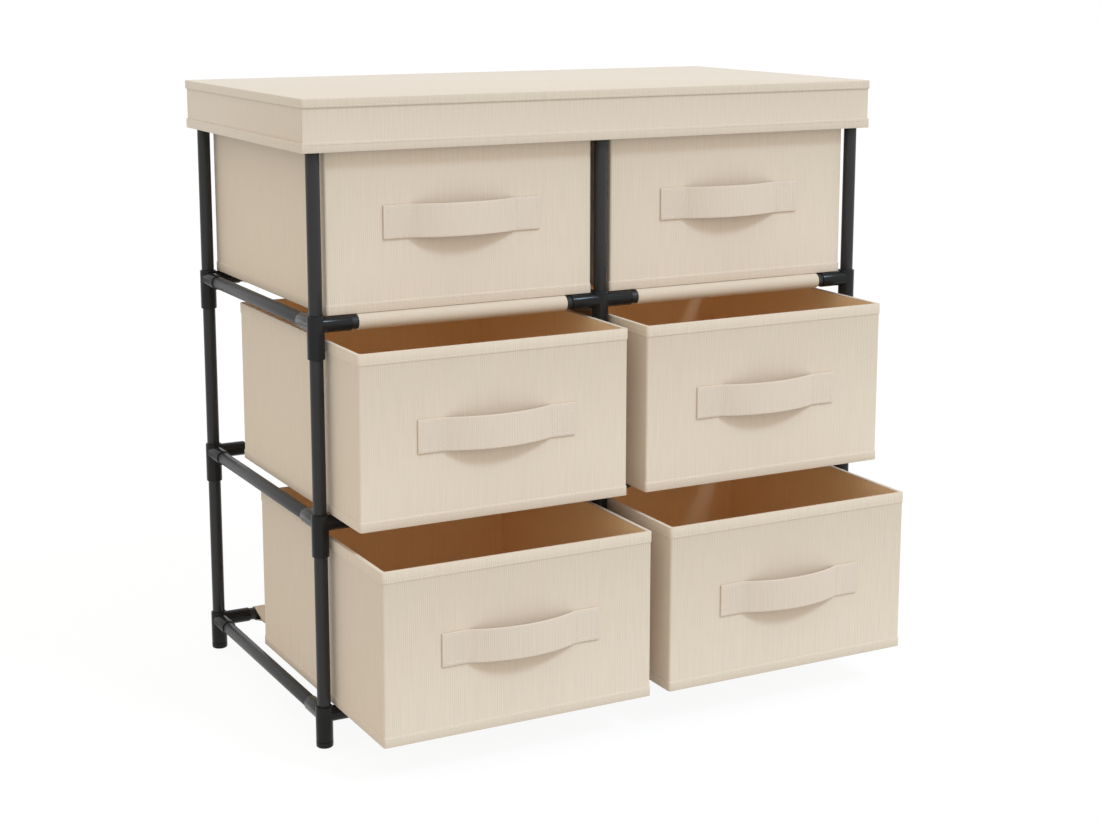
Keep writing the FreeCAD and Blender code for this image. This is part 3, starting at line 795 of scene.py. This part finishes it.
lined_at(STRAP_LOW + STRAP_FOLD, STRAP_HIGH - STRAP_FOLD)
bpy.ops.object.mode_set(mode="OBJECT")
shaped_by(strap_pattern, "SOLIDIFY", thickness=STRAP_THICK, offset=1)
shaped_by(strap_pattern, "BEVEL", width=0.0006, segments=3, limit_method="ANGLE", angle_limit=SHARP)
smooth(strap_pattern, degrees=40)

strap_cloth = ribbed_cloth(
    "cream_strap_cloth", (0.688, 0.583, 0.474), rib_spacing=0.0018, rib_depth=0.5
)
for label, x, rear, bottom in BASKETS:
    strap = set_down(strap_pattern, x, rear, bottom)
    strap.name = f"{label}_strap_handle"
    lay_threads(strap)
    strap.data.materials.append(strap_cloth)
    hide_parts(f"{label}_handle")
    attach(strap, label)
bpy.data.objects.remove(strap_pattern)


# Sewing. Cream thread in runs of short lockstitches that hold down the basket bands and the
# straps' end tabs, each stitch pulled a little into the cloth.

STITCH = 0.0026
STITCH_BODY = STITCH * 0.6  # its full round part, between two tips
STITCH_TIP = STITCH * 0.2
TIP_SHARE = 0.45  # how thin a tip ends, as a share of the thread
STITCH_DIP = 0.0001  # how far a tip sinks into the cloth
STITCH_PITCH = 0.0041
THREAD_RADIUS = 0.00028
BAND_SEAM = 0.0016  # from a band's line to its stitches
BAND_TURN = 0.004  # how far before a corner a row ends
TAB_SEAM = 0.003  # from a tab's edges to its stitches
SPAN_SEAM = 0.002  # and from where the free span begins

thread, _ = mottled_finish(
    "cream_sewing_thread", scale=1800, detail=2, dark=(0.70, 0.61, 0.49), light=(0.82, 0.74, 0.62)
)
thread.node_tree.nodes["Principled BSDF"].inputs["Roughness"].default_value = 0.6


def stitched_run(start, end, facing):
    """One row of stitches from start to end, lying on cloth that faces the given way."""
    start, end, facing = Vector(start), Vector(end), Vector(facing)
    reach = end - start
    count = max(1, int(reach.length / STITCH_PITCH))
    bpy.ops.object.select_all(action="DESELECT")
    bpy.ops.mesh.primitive_cylinder_add(
        vertices=6, radius=THREAD_RADIUS, depth=STITCH_BODY, rotation=(0, math.radians(90), 0)
    )
    stitch = settled(bpy.context.object)
    bpy.ops.object.mode_set(mode="EDIT")
    for way in (-1, 1):
        choose(stitch, "FACE", lambda face: face.normal.x * way > 0.9)
        bpy.ops.mesh.extrude_region_move(
            TRANSFORM_OT_translate={"value": (way * STITCH_TIP, 0, -STITCH_DIP)}
        )
        bpy.ops.transform.resize(value=(1, TIP_SHARE, TIP_SHARE))
    bpy.ops.object.mode_set(mode="OBJECT")
    shaped_by(
        stitch, "ARRAY", count=count, use_relative_offset=False, use_constant_offset=True,
        constant_offset_displace=(reach.length / count, 0, 0),
    )
    along = reach.normalized()
    side = facing.cross(along)
    turn = Matrix((along, side, facing)).transposed().to_4x4()
    first = start + along * (reach.length / count / 2)
    stitch.data.transform(Matrix.Translation(first) @ turn)
    return stitch


def stitched_ring(half_width, front, rear, height, corner, open_front=False):
    """Rows of stitches round an upright box of cloth, or round all but its front."""
    left, right = corner - half_width, half_width - corner
    near, far = front + corner, rear - corner
    rows = [
        stitched_run((right, rear, height), (left, rear, height), (0, 1, 0)),
        stitched_run((half_width, near, height), (half_width, far, height), (1, 0, 0)),
        stitched_run((-half_width, far, height), (-half_width, near, height), (-1, 0, 0)),
    ]
    if not open_front:
        rows.append(stitched_run((left, front, height), (right, front, height), (0, -1, 0)))
    return rows


rows = []
for height in (RIM_LINE + BAND_SEAM, HEM_LINE - BAND_SEAM):
    rows += stitched_ring(BASKET_HALF, -BASKET_DEEP, 0, height, BAND_TURN)
tab_face = FACE_Y - STRAP_THICK
inner_x, outer_x = SPAN_HALF + SPAN_SEAM, STRAP_END - TAB_SEAM
lower_z, upper_z = STRAP_LOW + TAB_SEAM, STRAP_HIGH - TAB_SEAM
for way in (-1, 1):
    for from_x, from_z, to_x, to_z in (
        (inner_x, lower_z, outer_x, lower_z), (inner_x, upper_z, outer_x, upper_z),
        (inner_x, lower_z, inner_x, upper_z), (outer_x, lower_z, outer_x, upper_z),
    ):
        start, end = (way * from_x, tab_face, from_z), (way * to_x, tab_face, to_z)
        rows.append(stitched_run(start, end, (0, -1, 0)))
sewing_pattern = smooth(joined("basket_sewing_pattern", rows), degrees=60)
for label, x, rear, bottom in BASKETS:
    sewing = set_down(sewing_pattern, x, rear, bottom)
    sewing.name = f"{label}_stitching"
    sewing.data.materials.append(thread)
    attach(sewing, label)
bpy.data.objects.remove(sewing_pattern)


# Lid. A board wrapped in cream cloth, with a skirt sewn on below it that hangs over the top of the
# rack at the sides and back. A doubled hem weights the skirt.

LID_HALF = 0.315
LID_FRONT = -0.3268
LID_REAR = 0.0132
LID_TOP = 0.6188
SKIRT_TOP = 0.6100
SKIRT_LOW = 0.5696
LID_HEM = 0.5791
LID_SEAM = 0.0018  # from a line to its stitches
LID_TURN = 0.005  # how far before a corner a row ends
WRAP_THICK = 0.0006
WRAP_CORNER = 0.0022
SKIRT_THICK = 0.002
SKIRT_CORNER = 0.0018
SKIRT_INSET = 0.0014  # from the board's edge in to the skirt
FLAP_REAR = -0.3234  # the back of the front skirt, where the side skirts begin

lid_cloth = ribbed_cloth(
    "cream_lid_cloth", (0.638, 0.541, 0.428), rib_spacing=0.002, rib_depth=0.2,
    rib_shade=0.025, roughness=0.4, shine=0.4,
)
board_wrap = upright_box(LID_HALF, LID_FRONT, LID_REAR, SKIRT_TOP, LID_TOP, WRAP_CORNER)
bpy.ops.object.mode_set(mode="OBJECT")
shaped_by(board_wrap, "BEVEL", width=0.0009, segments=3, limit_method="ANGLE", angle_limit=SHARP)
shaped_by(board_wrap, "SOLIDIFY", thickness=WRAP_THICK, offset=-1)

skirt = upright_box(
    LID_HALF - SKIRT_INSET, LID_FRONT, LID_REAR - SKIRT_INSET,
    SKIRT_LOW, SKIRT_TOP, SKIRT_CORNER,
)
choose(skirt, "FACE", lambda face: abs(face.normal.z) > 0.9)
bpy.ops.mesh.delete(type="FACE")
bpy.ops.mesh.select_all(action="SELECT")
bpy.ops.mesh.bisect(plane_co=(0, FLAP_REAR, 0), plane_no=(0, 1, 0), clear_inner=True)
lined_at(LID_HEM)
doubled_band(skirt, SKIRT_LOW, LID_HEM, SKIRT_INSET)
bpy.ops.object.mode_set(mode="OBJECT")
shaped_by(skirt, "SOLIDIFY", thickness=SKIRT_THICK, offset=-1)
shaped_by(skirt, "BEVEL", width=0.0004, segments=2, limit_method="ANGLE", angle_limit=SHARP)
rows = stitched_ring(LID_HALF, LID_FRONT, LID_REAR, SKIRT_TOP + LID_SEAM, LID_TURN)
rows += stitched_ring(
    LID_HALF, LID_FRONT, LID_REAR, LID_HEM - LID_SEAM, LID_TURN, open_front=True
)
lid_sewing = smooth(joined("lid_stitching", rows), degrees=60)
lid_sewing.data.materials.append(thread)
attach(lid_sewing, "lid")
lid_wrap = smooth(joined("lid_cloth_cover", [board_wrap, skirt]), degrees=50)
lay_threads(lid_wrap)
lid_wrap.data.materials.append(lid_cloth)
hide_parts("lid_cover")
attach(lid_wrap, "lid")


# Front skirt. The lid's skirt across the front hangs lower than the baskets' rims, and each half of
# it rucks up as the top basket behind it is pulled. Here each half is cut upright into even strips.

FLAP_STRIPS = 24
ROW_START = 0.002  # from the lid's middle to where each half's row begins

for bay, way in (("left", -1), ("right", 1)):
    bpy.ops.object.select_all(action="DESELECT")
    bpy.ops.mesh.primitive_cube_add(size=1, location=(
        way * (LID_HALF - SKIRT_INSET) / 2, (FLAP_REAR + LID_FRONT + SKIRT_INSET) / 2,
        (SKIRT_LOW + SKIRT_TOP) / 2,
    ))
    flap = bpy.context.object
    flap.scale = (
        LID_HALF - SKIRT_INSET, FLAP_REAR - LID_FRONT - SKIRT_INSET, SKIRT_TOP - SKIRT_LOW
    )
    settled(flap)
    bpy.ops.object.mode_set(mode="EDIT")
    lined_at(LID_HEM)
    choose(
        flap, "FACE",
        lambda face: middle_of(face).z < LID_HEM and abs(face.normal.z) < 0.1
        and (face.normal.y < -0.9 or face.normal.x * way > 0.9),
    )
    bpy.ops.mesh.extrude_region_shrink_fatten(TRANSFORM_OT_shrink_fatten={"value": SKIRT_INSET})
    choose(
        flap, "EDGE",
        lambda edge: middle_of(edge).z < SKIRT_TOP - NEAR and abs(middle_of(edge).x) > NEAR
        and not edge.is_boundary and edge.calc_face_angle(0) > SHARP,
    )
    bpy.ops.mesh.bevel(offset=0.0004, segments=2, affect="EDGES")
    for cut in range(1, FLAP_STRIPS):
        cut_x = way * cut * LID_HALF / FLAP_STRIPS
        bpy.ops.mesh.select_all(action="SELECT")
        bpy.ops.mesh.bisect(plane_co=(cut_x, 0, 0), plane_no=(1, 0, 0))
    bpy.ops.object.mode_set(mode="OBJECT")
    lay_threads(flap)
    flap.data.materials.append(lid_cloth)
    seam_z = LID_HEM - LID_SEAM
    start = (way * ROW_START, LID_FRONT, seam_z)
    end = (way * (LID_HALF - LID_TURN), LID_FRONT, seam_z)
    row = stitched_run(start, end, (0, -1, 0))
    row.data.materials.append(thread)
    half = smooth(joined(f"lid_front_skirt_{bay}", [flap, row]), degrees=50)
    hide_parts("lid_front_flap")
    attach(half, "lid")
    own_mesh(half)
